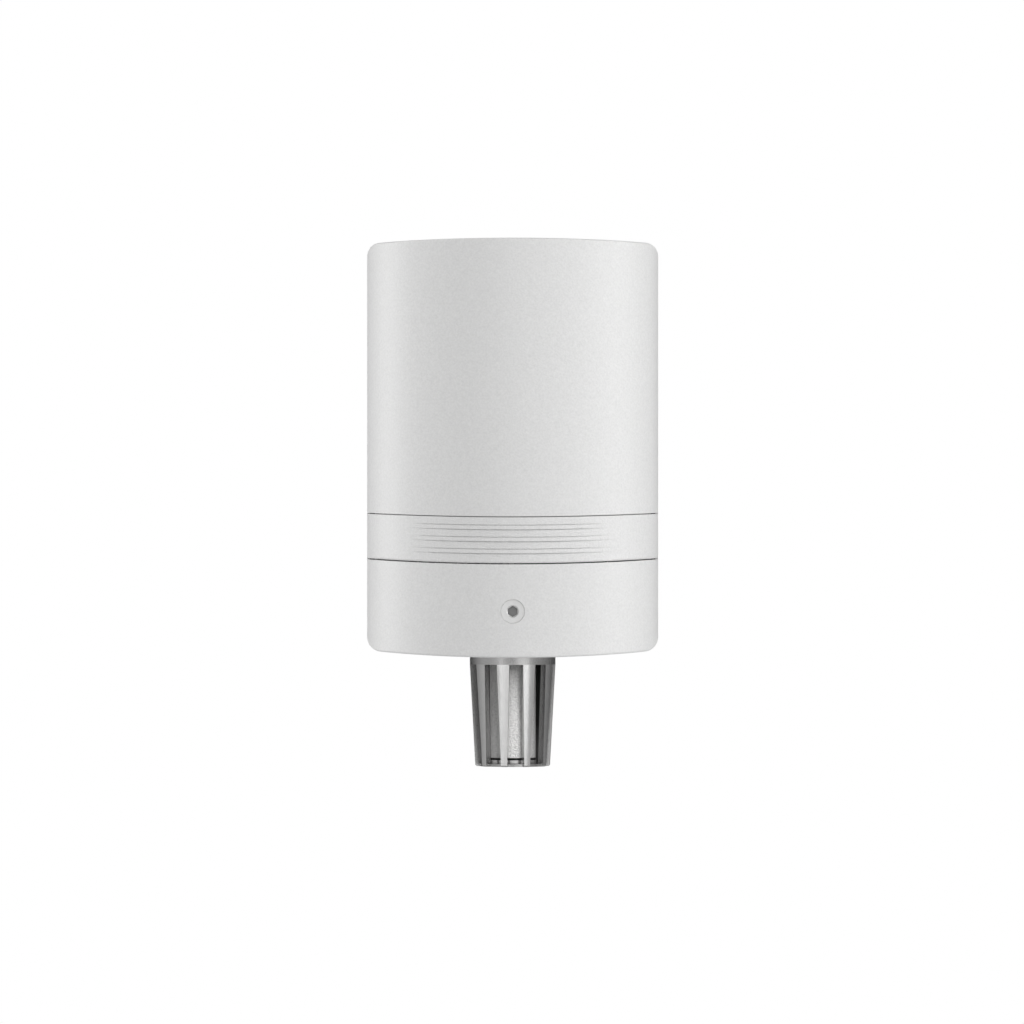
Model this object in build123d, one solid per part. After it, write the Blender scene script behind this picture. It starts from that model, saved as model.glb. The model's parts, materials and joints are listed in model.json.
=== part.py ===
from build123d import *

import math
import os

# Wall-mounted air sensor head: a moulded three-part housing on a flat back, with a slotted metal
# cage hanging from its underside round a porous filter sleeve.
# Millimetres. The back lies on the wall plane y = 0, the front faces -Y, +Z is up, and the origin
# is the middle of the back at half the housing's height.

# ---- housing outline ----
HALF_WIDTH = 31.5  # half of the housing's width
HALF_HEIGHT = 44.86  # from the middle to the top or bottom of the outline, on the centre line
SIDE_DEPTH = 10.0  # flat stretch of each side, from the wall
NOSE_DEPTH = 24.0  # the elliptical front, in front of the flat sides
TOP_RADIUS = 655.0  # shallow arch of the top
BOTTOM_RADIUS = 376.0  # shallow arch of the bottom
TOP_CORNER = 2.85  # corner rounding seen from the front
BOTTOM_CORNER = 3.25
WALL = 2.2
EDGE_ROUND = 0.4  # break on the outer edges
SPLIT = 9.0  # the rear case ends here, and the covers start
SPLIT_GAP = 0.3
GASKET_INSET = (0.6, 1.6)
GASKET_PROUD = 0.25
GASKET_DEEP = 0.8
GROOVE_SLACK = 0.05
TONGUE_X = 15.0  # middle of each hooking tongue
TONGUE_HALF = 4.0
TONGUE_Z = (40.4, 42.0)
TONGUE_ROOT = 1.2  # how much thicker each tongue is where it joins the cover
TONGUE_Y = (-12.5, -6.5)
FLOOR = 2.4  # the rear case's back wall
DEPTH = SIDE_DEPTH + NOSE_DEPTH

# ---- seams and grip ribs across the front ----
UPPER_SEAM_Z = -14.77
UPPER_SEAM_RADIUS = 649.0
UPPER_SEAM_GAP = 0.16
LOWER_SEAM_Z = -24.8
LOWER_SEAM_RADIUS = 507.0
LOWER_SEAM_GAP = 0.21
LAP_REACH = 1.5  # the band's lip behind the hood, above and below the upper seam
LAP_THICK = 1.0
LAP_SLACK = 0.08
SEAM_ROUND = 0.12  # break on the seams' edges
BAND_ROUND = 0.45  # softer lower edge of the band
RIB_PITCH = 2.56
RIB_MIDDLE_Z = -19.6
RIB_WIDTH = 0.8
RIB_HEIGHT = 0.35  # at the centre line, none at the ends
RIB_END = 22.0  # half width at which a rib runs into the front
RIB_ARCH = 537.0
RELIEF_WIDTH = 0.19  # fine groove along each side of a rib
RELIEF_DEPTH = 0.3

# ---- captive cover screw ----
SCREW_Z = -34.96
SCREW_HEAD_R = 2.5
SEAT_SLACK = 0.1
SCREW_HOLE_SLACK = 0.15
SCREW_SHANK_R = 1.5
SCREW_FACE_Y = -33.72
SCREW_TIP_Y = -5.2
SOCKET_FLATS = 2.0
SOCKET_DEPTH = 1.7
MOUTH = 0.34  # countersink round the socket
RETAINER_R = 2.3
RETAINER_Y = (-9.75, -9.15)
INSERT_R = 2.2
INSERT_BACK_Y = -3.6
BOSS_R = 3.0
BOSS_SHORT = 0.8  # the boss ends this far in front of the split
PILLAR_R = 3.5

# ---- probe: cage, sleeve and sensor, on one vertical axis ----
PROBE_Y = -19.1
CAGE_BOTTOM_Z = -68.42
CAGE_TOP_Z = -44.3  # sits inside the shallow recess of the underside
SLOT_TOP_Z = -46.48
COLLAR_R = 9.24
CAGE_FOOT_R = 8.05
FINGER_TOP_INNER_R = 7.6
FINGER_FOOT_INNER_R = 6.7
FINGERS = 10
FINGER_TOP_DEG = 17.2
FINGER_FOOT_DEG = 9.4
FIRST_FINGER_DEG = -13.2  # measured from straight ahead, towards +X
FOOT_Z = -67.84  # top of the flange that joins the fingers
FLANGE_R = 7.2  # the fingers stand proud of it
FOOT_CHAMFER = 0.28
STEM_R = 6.5
STEM_BORE_R = 5.0
STEM_TOP_Z = -41.2
THREAD_GAP = 0.05
ROOF_T = 1.2  # the cage's closed top between collar and stem
ROOF_INSET = 1.0
CAP_R = 5.6
CAP_SLACK = 0.02
BOSS_TOP_Z = -67.08
CAP_BOSS_R = 5.03
SLEEVE_R = 4.96
SLEEVE_BORE_R = 4.2
SLEEVE_TOP_Z = -46.3
SLEEVE_BOTTOM_Z = -66.61
LAND_R = 11.0
LAND_TOP_Z = -41.4
LAND_SLACK = 0.25
RECESS_R = 9.5
RECESS_Z = -43.9
BUSH_R = 8.3
BUSH_FLANGE_R = 9.4
BUSH_FLANGE_T = 0.6
NECK_SEAL_R = (6.8, 8.1)
SEAL_SLACK = 0.05
SLEEVE_SEAL_INNER_R = 3.4
PLUG_R = 4.6
PLUG_FLANGE_R = 7.4
PLUG_TOP_Z = LAND_TOP_Z + 1.4
SENSOR_BOARD_HALF_W = 3.0
SENSOR_BOARD_T = 1.0
SENSOR_BOARD_Z = (-64.5, -40.4)
SLOT_SLACK = 0.05
HUMIDITY_HALF_W = 1.5
HUMIDITY_T = 0.9
HUMIDITY_Z = (-63.0, -60.0)
TEMPERATURE_HALF_W = 0.8
TEMPERATURE_T = 0.4
TEMPERATURE_Z = (-58.0, -56.8)
LEAD_R = 0.5
LEAD_START_Y = PROBE_Y + 2.2
LEAD_TURN_Z = -39.1
LEAD_BENDS = [0.6, 2.5, 2.5]

# ---- wall fixings and cable entry ----
WALL_HOLE_X = 25.0
WALL_HOLE_Z = 35.0
WALL_HOLE_R = 2.2
WALL_BOSS_R = 3.9
CABLE_X = -16.5
CABLE_Z = -37.0
CABLE_HOLE_R = 4.0
CABLE_R = 2.5
WALL_BOSS_HEIGHT = 1.6
GROMMET_FLANGE_R = 4.7
GROMMET_FLANGE_T = 1.0

# ---- main board ----
BOARD_BACK_Y = -5.0
BOARD_T = 1.6
BOARD_HALF_W = 20.4
BOARD_TOP_Z = 38.5
BOARD_BOTTOM_Z = -31.3
BOARD_HOLES = [(x, z) for x in (-17.0, 17.0) for z in (34.0, -17.0)]
BOARD_FRONT_Y = BOARD_BACK_Y - BOARD_T
BOARD_HOLE_R = 1.3
STANDOFF_R = 2.8
BOARD_SCREW_R = 1.0
BOARD_SCREW_HEAD_R = 2.3
BOARD_SCREW_HEAD_T = 1.5
BOARD_SCREW_BACK_Y = -1.6
BOARD_SCREW_REST = 0.6  # each screw hole runs on this far past its screw
CROSS_LENGTH = 2.8
CROSS_WIDTH = 0.6
CROSS_DEPTH = 0.8

# ---- parts on the main board: left, right, bottom, top, height ----
PROCESSOR = (-6.0, 6.0, 4.0, 16.0, 1.2)
REGULATOR = (-15.5, -11.5, 8.0, 13.0, 1.5)
INDUCTOR = (8.0, 14.0, 20.0, 26.0, 3.5)
LEAD_SOCKET = (8.5, 13.5, -30.9, -26.4, 4.5)
CAN_X = (-13.5, -7.0)
CAN_Z = 22.0
CAN_R = 2.5
CAN_HEIGHT = 6.5
LED_X = 14.5
LED_Z = 12.0
LED_R = 0.9
LED_HEIGHT = 1.6

# ---- terminal block ----
TERMINAL_WAYS = 4
TERMINAL_PITCH = 5.0
TERMINAL_LEFT = -18.4
TERMINAL_Z = (-31.0, -22.0)
TERMINAL_HEIGHT = 10.0
WIRE_MOUTH_HALF_W = 1.7
WIRE_MOUTH_Y = (5.0, 1.6)  # heights over the board
WIRE_MOUTH_DEEP = 5.0
TERMINAL_SCREW_Z = TERMINAL_Z[0] + 4.8
TERMINAL_HEAD_R = 1.8
TERMINAL_HEAD_Y = (8.6, 6.6)
TERMINAL_SHANK_R = 1.0
TERMINAL_SHANK_END = 4.0
TERMINAL_HEAD_SLACK = 0.1
DRIVER_SLOT_HALF_W = 0.3
DRIVER_SLOT_DEPTH = 0.7

# ---- slide switch and service button ----
SWITCH_WAYS = 4
SWITCH_PITCH = 2.54
SWITCH_LEFT = 6.6
SWITCH_Z = (-12.0, -6.0)
SWITCH_HEIGHT = 2.6
WELL_HALF_W = 0.7
WELL_END = 1.1  # from the switch's edge to the well
WELL_FLOOR = 1.0
SLIDER_HALF_W = 0.6
SLIDER_LENGTH = 1.6
SLIDER_HEIGHT = 3.3
SLIDER_SLACK = 0.1
BUTTON_X = -12.0
BUTTON_Z = -9.0
BUTTON_HALF_W = 3.0
BUTTON_HEIGHT = 3.4
BUTTON_WELL_R = 1.75
BUTTON_WELL_FLOOR = 1.0
PLUNGER_R = 1.7
PLUNGER_Y = (5.0, 1.5)

REACH = 80.0  # larger than the object, for cutting tools

os.makedirs("parts", exist_ok=True)


def save(shape, node):
    """Write one node's solids."""
    export_step(shape, f"parts/{node}.step")


def block(x0, x1, y0, y1, z0, z1):
    """Box between two corners."""
    size = (x1 - x0, y1 - y0, z1 - z0)
    return Pos((x0 + x1) / 2, (y0 + y1) / 2, (z0 + z1) / 2) * Box(*size)


def post(x, z, radius, y_front, y_back):
    """Cylinder along Y."""
    length = y_back - y_front
    return Pos(x, (y_front + y_back) / 2, z) * Rot(90, 0, 0) * Cylinder(radius, length)


def on_board(left, right, bottom, top, height):
    """Block that stands on the front of the main board."""
    return block(left, right, BOARD_FRONT_Y - height, BOARD_FRONT_Y, bottom, top)


def post_on_board(x, z, radius, tip, foot=0.0):
    """Post along Y between two heights over the front of the main board."""
    return post(x, z, radius, BOARD_FRONT_Y - tip, BOARD_FRONT_Y - foot)


def upright(radius, z0, z1):
    """Cylinder along Z on the probe's axis."""
    return Pos(0, PROBE_Y, (z0 + z1) / 2) * Cylinder(radius, z1 - z0)


def ring(outer, inner, z0, z1):
    """Tube along Z on the probe's axis."""
    return upright(outer, z0, z1) - upright(inner, z0 - 1, z1 + 1)


def sag(x, radius):
    """How far a shallow arc of this radius has bent at distance x from its apex."""
    return radius - math.sqrt(radius**2 - x**2)


def plan_face(inset):
    """Horizontal section of the housing: flat back, straight sides, elliptical front."""
    half = HALF_WIDTH - inset
    with BuildSketch() as sketch:
        with BuildLine():
            Line((-half, 0), (-half, -SIDE_DEPTH))
            EllipticalCenterArc((0, -SIDE_DEPTH), half, NOSE_DEPTH - inset, start_angle=180, arc_size=180)
            Line((half, -SIDE_DEPTH), (half, 0))
            Line((half, 0), (-half, 0))
        make_face()
    return sketch.sketch


def front_face(inset):
    """Front outline: arched top and bottom, rounded corners."""
    half = HALF_WIDTH - inset + 0.01
    apex = HALF_HEIGHT - inset
    top = apex - sag(half, TOP_RADIUS - inset)
    bottom = -apex + sag(half, BOTTOM_RADIUS - inset)
    with BuildSketch() as sketch:
        with BuildLine():
            ThreePointArc((-half, top), (0, apex), (half, top))
            Line((half, top), (half, bottom))
            ThreePointArc((half, bottom), (0, -apex), (-half, bottom))
            Line((-half, bottom), (-half, top))
        make_face()
        corners = sketch.vertices().sort_by(Axis.Y)
        fillet(corners[2:], max(TOP_CORNER - inset, 0.5))
        corners = sketch.vertices().sort_by(Axis.Y)
        fillet(corners[:2], max(BOTTOM_CORNER - inset, 0.5))
    return sketch.sketch


def envelope(inset):
    """The housing's outer shape, or that shape drawn in by a wall."""
    column = extrude(Pos(0, 0, -REACH) * plan_face(inset), amount=2 * REACH)
    slab = extrude(Plane.XZ * front_face(inset), amount=DEPTH + 1)
    return column & slab


def under_arc(apex_z, radius):
    """Everything below a shallow arc that rises towards the sides."""
    side = HALF_WIDTH + 5
    rise = sag(side, radius)
    with BuildSketch() as sketch:
        with BuildLine():
            ThreePointArc((-side, apex_z + rise), (0, apex_z), (side, apex_z + rise))
            Line((side, apex_z + rise), (side, -REACH))
            Line((side, -REACH), (-side, -REACH))
            Line((-side, -REACH), (-side, apex_z + rise))
        make_face()
    return Pos(0, 5, 0) * extrude(Plane.XZ * sketch.sketch, amount=DEPTH + 10)


def seam_edges(piece, apex_z, radius):
    """Outer edges of a piece along a seam."""
    found = []
    for edge in piece.edges():
        middle = edge.position_at(0.5)
        off_seam = middle.Z - apex_z - sag(abs(middle.X), radius)
        nose = (middle.X / HALF_WIDTH) ** 2 + (min(middle.Y + SIDE_DEPTH, 0) / NOSE_DEPTH) ** 2
        if abs(off_seam) < 0.01 and abs(nose - 1) < 0.001:
            found.append(edge)
    return found


def land_outline(grow):
    """Plan of the land under the housing that carries the probe, open to the rear."""
    radius = LAND_R + grow
    return Pos(0, PROBE_Y) * (Circle(radius) + Pos(0, radius) * Rectangle(2 * radius, 2 * radius))


outer = envelope(0)
rim_edges = [edge for edge in outer.edges() if edge.center().Y < -0.5]
outer = fillet(rim_edges, EDGE_ROUND)
inner = envelope(WALL)

front_space = block(-REACH, REACH, -REACH, -SPLIT - SPLIT_GAP, -REACH, REACH)
back_space = block(-REACH, REACH, -SPLIT, REACH, -REACH, REACH)
front_shell = (outer - inner) & front_space


def make_upper_cover():
    """Tall hood, with two tongues that hook under the rear case's top wall."""
    cover = front_shell - under_arc(UPPER_SEAM_Z + UPPER_SEAM_GAP / 2, UPPER_SEAM_RADIUS)
    cover = fillet(seam_edges(cover, UPPER_SEAM_Z + UPPER_SEAM_GAP / 2, UPPER_SEAM_RADIUS), SEAM_ROUND)
    for x in (-TONGUE_X, TONGUE_X):
        left, right = x - TONGUE_HALF, x + TONGUE_HALF
        cover += block(left, right, TONGUE_Y[0], -SIDE_DEPTH, TONGUE_Z[0], TONGUE_Z[1] + TONGUE_ROOT)
        cover += block(left, right, *TONGUE_Y, *TONGUE_Z)
    return cover


def outside_arc(apex_y):
    """Everything in front of an arc in plan that starts and ends where the ribs end."""
    end_y = -SIDE_DEPTH - NOSE_DEPTH * math.sqrt(1 - (RIB_END / HALF_WIDTH) ** 2)
    rise = end_y - apex_y
    radius = (RIB_END**2 + rise**2) / (2 * rise)
    plan = Pos(0, -DEPTH) * Rectangle(3 * RIB_END, 30) - Pos(0, apex_y + radius) * Circle(radius)
    return extrude(Pos(0, 0, -REACH) * plan, amount=2 * REACH)


def strip(z, half):
    """Arched strip across the front, this far above and below its middle line."""
    return under_arc(z + half, RIB_ARCH) - under_arc(z - half, RIB_ARCH)


def make_grip_band():
    """Band between the seams, with three grip ribs that run out towards the sides."""
    upper_z = UPPER_SEAM_Z - UPPER_SEAM_GAP / 2
    lower_z = LOWER_SEAM_Z + LOWER_SEAM_GAP / 2
    band = (front_shell & under_arc(upper_z, UPPER_SEAM_RADIUS)) - under_arc(lower_z, LOWER_SEAM_RADIUS)
    band = fillet(seam_edges(band, upper_z, UPPER_SEAM_RADIUS), SEAM_ROUND)
    band = fillet(seam_edges(band, lower_z, LOWER_SEAM_RADIUS), BAND_ROUND)
    lap_zone = under_arc(upper_z + LAP_REACH, UPPER_SEAM_RADIUS)
    lap_zone -= under_arc(upper_z - LAP_REACH, UPPER_SEAM_RADIUS)
    lip = (envelope(WALL + LAP_SLACK) - envelope(WALL + LAP_THICK)) & lap_zone & front_space
    root = (inner - envelope(WALL + LAP_THICK)) & lap_zone & under_arc(upper_z, UPPER_SEAM_RADIUS) & front_space
    band += lip + root
    relief = outside_arc(-DEPTH + RELIEF_DEPTH)
    crest = outside_arc(-DEPTH - RIB_HEIGHT)
    for step in (-1, 0, 1):
        z = RIB_MIDDLE_Z + step * RIB_PITCH
        band -= strip(z, RIB_WIDTH / 2 + RELIEF_WIDTH) & relief
        band += (strip(z, RIB_WIDTH / 2) & block(-RIB_END, RIB_END, -REACH, 0, -REACH, REACH)) - inner - crest
    return band


def make_lower_cover():
    """Front of the wiring space: screw boss inside, notch round the probe's land."""
    seam_z = LOWER_SEAM_Z - LOWER_SEAM_GAP / 2
    cover = front_shell & under_arc(seam_z, LOWER_SEAM_RADIUS)
    cover = fillet(seam_edges(cover, seam_z, LOWER_SEAM_RADIUS), SEAM_ROUND)
    cover += post(0, SCREW_Z, BOSS_R, -DEPTH + 1, -SPLIT - BOSS_SHORT) & outer
    cover -= post(0, SCREW_Z, SCREW_SHANK_R + SCREW_HOLE_SLACK, -REACH, 0)
    cone_depth = SCREW_HEAD_R - SCREW_SHANK_R
    seat = Rot(90, 0, 0) * Cone(SCREW_SHANK_R + SEAT_SLACK, SCREW_HEAD_R + SEAT_SLACK, cone_depth)
    cover -= Pos(0, SCREW_FACE_Y + cone_depth / 2, SCREW_Z) * seat
    cover -= post(0, SCREW_Z, SCREW_HEAD_R + SEAT_SLACK, -DEPTH - 1, SCREW_FACE_Y)
    notch = extrude(Pos(0, 0, -REACH) * land_outline(LAND_SLACK), amount=REACH + LAND_TOP_Z + LAND_SLACK)
    return cover - notch


def make_rear_case():
    """Tray against the wall, with pillars, wall-screw bosses and the land for the probe."""
    case = outer & back_space
    case -= inner & block(-REACH, REACH, -REACH, -FLOOR, -REACH, REACH)
    land = extrude(Pos(0, 0, -REACH) * land_outline(0), amount=REACH + LAND_TOP_Z)
    case += land & outer & block(-REACH, REACH, -REACH, -FLOOR, -REACH, REACH)
    case -= upright(BUSH_R, -REACH, 0)
    case -= upright(RECESS_R, -REACH, RECESS_Z)
    for x, z in BOARD_HOLES:
        case += post(x, z, STANDOFF_R, BOARD_BACK_Y, -FLOOR)
        case -= post(x, z, BOARD_SCREW_R + THREAD_GAP, BOARD_BACK_Y - 1, BOARD_SCREW_BACK_Y + BOARD_SCREW_REST)
    case += post(0, SCREW_Z, PILLAR_R, -SPLIT, -FLOOR)
    case -= post(0, SCREW_Z, INSERT_R, -SPLIT - 1, INSERT_BACK_Y)
    for x in (-WALL_HOLE_X, WALL_HOLE_X):
        for z in (-WALL_HOLE_Z, WALL_HOLE_Z):
            case += post(x, z, WALL_BOSS_R, -FLOOR - WALL_BOSS_HEIGHT, -FLOOR)
            case -= post(x, z, WALL_HOLE_R, -REACH, REACH)
    case -= post(CABLE_X, CABLE_Z, CABLE_HOLE_R, -REACH, REACH)
    groove = envelope(GASKET_INSET[0] - GROOVE_SLACK) - envelope(GASKET_INSET[1] + GROOVE_SLACK)
    case -= groove & block(-REACH, REACH, -REACH, -SPLIT + GASKET_DEEP, -REACH, REACH)
    return case


def make_case_gasket():
    """Cord in the rim of the rear case, proud of it, which both covers press on."""
    loop = envelope(GASKET_INSET[0]) - envelope(GASKET_INSET[1])
    return loop & block(-REACH, REACH, -SPLIT - GASKET_PROUD, -SPLIT + GASKET_DEEP, -REACH, REACH)


def make_cover_screw():
    """Countersunk screw with a hex socket."""
    cone_depth = SCREW_HEAD_R - SCREW_SHANK_R
    screw = post(0, SCREW_Z, SCREW_SHANK_R, SCREW_FACE_Y + cone_depth, SCREW_TIP_Y)
    head = Rot(90, 0, 0) * Cone(SCREW_SHANK_R, SCREW_HEAD_R, cone_depth)
    screw += Pos(0, SCREW_FACE_Y + cone_depth / 2, SCREW_Z) * head
    hexagon = RegularPolygon(SOCKET_FLATS / 2, 6, major_radius=False, rotation=30)
    socket_plane = Plane((0, SCREW_FACE_Y, SCREW_Z), x_dir=(1, 0, 0), z_dir=(0, 1, 0))
    screw -= extrude(socket_plane * hexagon, amount=SOCKET_DEPTH)
    mouth = Rot(90, 0, 0) * Cone(SOCKET_FLATS / 2, SOCKET_FLATS / 2 + MOUTH, MOUTH)
    screw -= Pos(0, SCREW_FACE_Y + MOUTH / 2, SCREW_Z) * mouth
    return screw


def make_screw_retainer():
    """Split ring on the shank that keeps the screw in the cover."""
    disc = post(0, SCREW_Z, RETAINER_R, *RETAINER_Y)
    return disc - post(0, SCREW_Z, SCREW_SHANK_R, -REACH, 0)


def make_thread_insert():
    """Brass insert in the rear case's pillar."""
    sleeve = post(0, SCREW_Z, INSERT_R, -SPLIT, INSERT_BACK_Y)
    return sleeve - post(0, SCREW_Z, SCREW_SHANK_R + THREAD_GAP, -REACH, 0)


def sector(radius_in, radius_out, middle_deg, width_deg, z):
    """Piece of a ring between two radii, centred on an angle measured from straight ahead."""
    low = math.radians(middle_deg - width_deg / 2)
    mid = math.radians(middle_deg)
    high = math.radians(middle_deg + width_deg / 2)

    def point(radius, angle):
        return (radius * math.sin(angle), -radius * math.cos(angle))

    with BuildSketch(Plane.XY.offset(z)) as sketch:
        with BuildLine():
            ThreePointArc(point(radius_out, low), point(radius_out, mid), point(radius_out, high))
            Line(point(radius_out, high), point(radius_in, high))
            ThreePointArc(point(radius_in, high), point(radius_in, mid), point(radius_in, low))
            Line(point(radius_in, low), point(radius_out, low))
        make_face()
    return sketch.sketch


def make_sensor_cage():
    """Threaded stem, collar, ten tapered fingers and the flange that joins their feet."""
    cage = ring(COLLAR_R, FINGER_TOP_INNER_R, SLOT_TOP_Z, CAGE_TOP_Z)
    cage += ring(COLLAR_R - ROOF_INSET, STEM_BORE_R, CAGE_TOP_Z - ROOF_T, CAGE_TOP_Z)
    cage += ring(STEM_R, STEM_BORE_R, CAGE_TOP_Z - ROOF_T, STEM_TOP_Z)
    for number in range(FINGERS):
        middle = FIRST_FINGER_DEG + number * 360 / FINGERS
        top = sector(FINGER_TOP_INNER_R, COLLAR_R, middle, FINGER_TOP_DEG, SLOT_TOP_Z)
        foot = sector(FINGER_FOOT_INNER_R, CAGE_FOOT_R, middle, FINGER_FOOT_DEG, CAGE_BOTTOM_Z)
        cage += Pos(0, PROBE_Y, 0) * loft([top.face(), foot.face()], ruled=True)
    cage += ring(FLANGE_R, CAP_R, CAGE_BOTTOM_Z, FOOT_Z)
    kept = Cone(CAGE_FOOT_R - FOOT_CHAMFER, CAGE_FOOT_R + FOOT_CHAMFER, 2 * FOOT_CHAMFER)
    corner = upright(CAGE_FOOT_R + 1, CAGE_BOTTOM_Z, CAGE_BOTTOM_Z + 2 * FOOT_CHAMFER)
    return cage - (corner - Pos(0, PROBE_Y, CAGE_BOTTOM_Z + FOOT_CHAMFER) * kept)


def make_cage_cap():
    """Plug in the cage's open end, with the boss that the sleeve stands on."""
    return upright(CAP_R - CAP_SLACK, CAGE_BOTTOM_Z, FOOT_Z) + upright(CAP_BOSS_R, FOOT_Z, BOSS_TOP_Z)


def make_probe():
    """Bush, seal, plug, sleeve and sensor board, all round the probe's axis."""
    bush = ring(BUSH_R, STEM_R + THREAD_GAP, RECESS_Z, LAND_TOP_Z)
    bush += ring(BUSH_FLANGE_R, STEM_R + THREAD_GAP, LAND_TOP_Z, LAND_TOP_Z + BUSH_FLANGE_T)
    save(bush, "neck_bush")
    save(ring(NECK_SEAL_R[1], NECK_SEAL_R[0], CAGE_TOP_Z + SEAL_SLACK, RECESS_Z), "neck_seal")
    plug = upright(PLUG_R, SLEEVE_TOP_Z + SEAL_SLACK, LAND_TOP_Z + BUSH_FLANGE_T)
    plug += upright(PLUG_FLANGE_R, LAND_TOP_Z + BUSH_FLANGE_T, PLUG_TOP_Z)
    half_w = SENSOR_BOARD_HALF_W
    half_t = SENSOR_BOARD_T / 2
    slot_w = half_w + SLOT_SLACK
    slot_t = half_t + SLOT_SLACK
    board_slot = block(-slot_w, slot_w, PROBE_Y - slot_t, PROBE_Y + slot_t, -REACH, 0)
    save(plug - board_slot, "neck_plug")
    save(ring(SLEEVE_R, SLEEVE_BORE_R, SLEEVE_BOTTOM_Z, SLEEVE_TOP_Z), "filter_sleeve")
    seal_bottom = BOSS_TOP_Z + SEAL_SLACK
    save(ring(CAP_BOSS_R - SEAL_SLACK, SLEEVE_SEAL_INNER_R, seal_bottom, SLEEVE_BOTTOM_Z), "sleeve_seal")
    board_face = PROBE_Y - half_t
    save(block(-half_w, half_w, board_face, PROBE_Y + half_t, *SENSOR_BOARD_Z), "sensor_board")
    humidity = block(-HUMIDITY_HALF_W, HUMIDITY_HALF_W, board_face - HUMIDITY_T, board_face, *HUMIDITY_Z)
    save(humidity, "humidity_sensor")
    wide = TEMPERATURE_HALF_W
    temperature = block(-wide, wide, board_face - TEMPERATURE_T, board_face, *TEMPERATURE_Z)
    save(temperature, "temperature_sensor")


def make_sensor_lead():
    """Screened lead from the plug round the screw pillar to the main board's socket."""
    route = [
        (0.0, LEAD_START_Y, PLUG_TOP_Z),
        (0.0, LEAD_START_Y, LEAD_TURN_Z),
        (6.0, -14.0, LEAD_TURN_Z),
        (11.0, -10.5, -36.5),
        (11.0, -8.9, -31.2),
    ]
    path = FilletPolyline(*route, radius=LEAD_BENDS)
    section = Plane(path @ 0, z_dir=path % 0) * Circle(LEAD_R)
    return sweep(section, path)


def make_board_parts():
    """Main board and everything soldered or screwed to it."""
    board = block(-BOARD_HALF_W, BOARD_HALF_W, BOARD_FRONT_Y, BOARD_BACK_Y, BOARD_BOTTOM_Z, BOARD_TOP_Z)
    screws = []
    for x, z in BOARD_HOLES:
        board -= post(x, z, BOARD_HOLE_R, -REACH, 0)
        head_y = BOARD_FRONT_Y - BOARD_SCREW_HEAD_T
        shank = post(x, z, BOARD_SCREW_R, BOARD_FRONT_Y, BOARD_SCREW_BACK_Y)
        head = post(x, z, BOARD_SCREW_HEAD_R, head_y, BOARD_FRONT_Y)
        long, wide = CROSS_LENGTH / 2, CROSS_WIDTH / 2
        cross = block(x - long, x + long, head_y - 1, head_y + CROSS_DEPTH, z - wide, z + wide)
        cross += block(x - wide, x + wide, head_y - 1, head_y + CROSS_DEPTH, z - long, z + long)
        screws.append(shank + head - cross)
    save(board, "main_board")
    save(Compound(children=screws), "board_screws")
    save(on_board(*PROCESSOR), "processor_chip")
    save(on_board(*REGULATOR), "regulator")
    save(on_board(*INDUCTOR), "inductor")
    save(on_board(*LEAD_SOCKET), "lead_socket")
    cans = [post_on_board(x, CAN_Z, CAN_R, CAN_HEIGHT) for x in CAN_X]
    save(Compound(children=cans), "capacitors")
    save(post_on_board(LED_X, LED_Z, LED_R, LED_HEIGHT), "status_led")


def make_terminals():
    """Screw terminal block, wire mouths facing down."""
    right = TERMINAL_LEFT + TERMINAL_WAYS * TERMINAL_PITCH
    body = on_board(TERMINAL_LEFT, right, *TERMINAL_Z, TERMINAL_HEIGHT)
    mouth_front, mouth_back = WIRE_MOUTH_Y
    head_front, head_back = TERMINAL_HEAD_Y
    z = TERMINAL_SCREW_Z
    screws = []
    for way in range(TERMINAL_WAYS):
        x = TERMINAL_LEFT + (way + 0.5) * TERMINAL_PITCH
        wide = WIRE_MOUTH_HALF_W
        mouth = on_board(x - wide, x + wide, TERMINAL_Z[0] - 1, TERMINAL_Z[0] + WIRE_MOUTH_DEEP, mouth_front)
        body -= mouth - on_board(x - wide, x + wide, -REACH, REACH, mouth_back)
        body -= post_on_board(x, z, TERMINAL_HEAD_R + TERMINAL_HEAD_SLACK, REACH, mouth_front)
        body -= post_on_board(x, z, TERMINAL_SHANK_R + THREAD_GAP, head_back, TERMINAL_SHANK_END - mouth_back)
        screw = post_on_board(x, z, TERMINAL_HEAD_R, head_front, head_back)
        screw += post_on_board(x, z, TERMINAL_SHANK_R, head_back, TERMINAL_SHANK_END)
        groove = on_board(x - 2, x + 2, z - DRIVER_SLOT_HALF_W, z + DRIVER_SLOT_HALF_W, head_front + 1)
        screws.append(screw - (groove & post_on_board(x, z, REACH, REACH, head_front - DRIVER_SLOT_DEPTH)))
    save(body, "terminal_block")
    save(Compound(children=screws), "terminal_screws")


def make_dip_switch():
    """Slide switch and its separate sliders, all in their lower places."""
    low, high = SWITCH_Z
    body = on_board(SWITCH_LEFT, SWITCH_LEFT + SWITCH_WAYS * SWITCH_PITCH, low, high, SWITCH_HEIGHT)
    start = low + WELL_END + SLIDER_SLACK
    for way in range(SWITCH_WAYS):
        x = SWITCH_LEFT + (way + 0.5) * SWITCH_PITCH
        well = on_board(x - WELL_HALF_W, x + WELL_HALF_W, low + WELL_END, high - WELL_END, REACH)
        body -= well - on_board(x - WELL_HALF_W, x + WELL_HALF_W, low, high, WELL_FLOOR)
        slider = on_board(x - SLIDER_HALF_W, x + SLIDER_HALF_W, start, start + SLIDER_LENGTH, SLIDER_HEIGHT)
        slider -= on_board(x - 1, x + 1, low, high, WELL_FLOOR + SLIDER_SLACK)
        save(slider, f"dip_slider_{way + 1}")
    save(body, "dip_switch")


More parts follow.
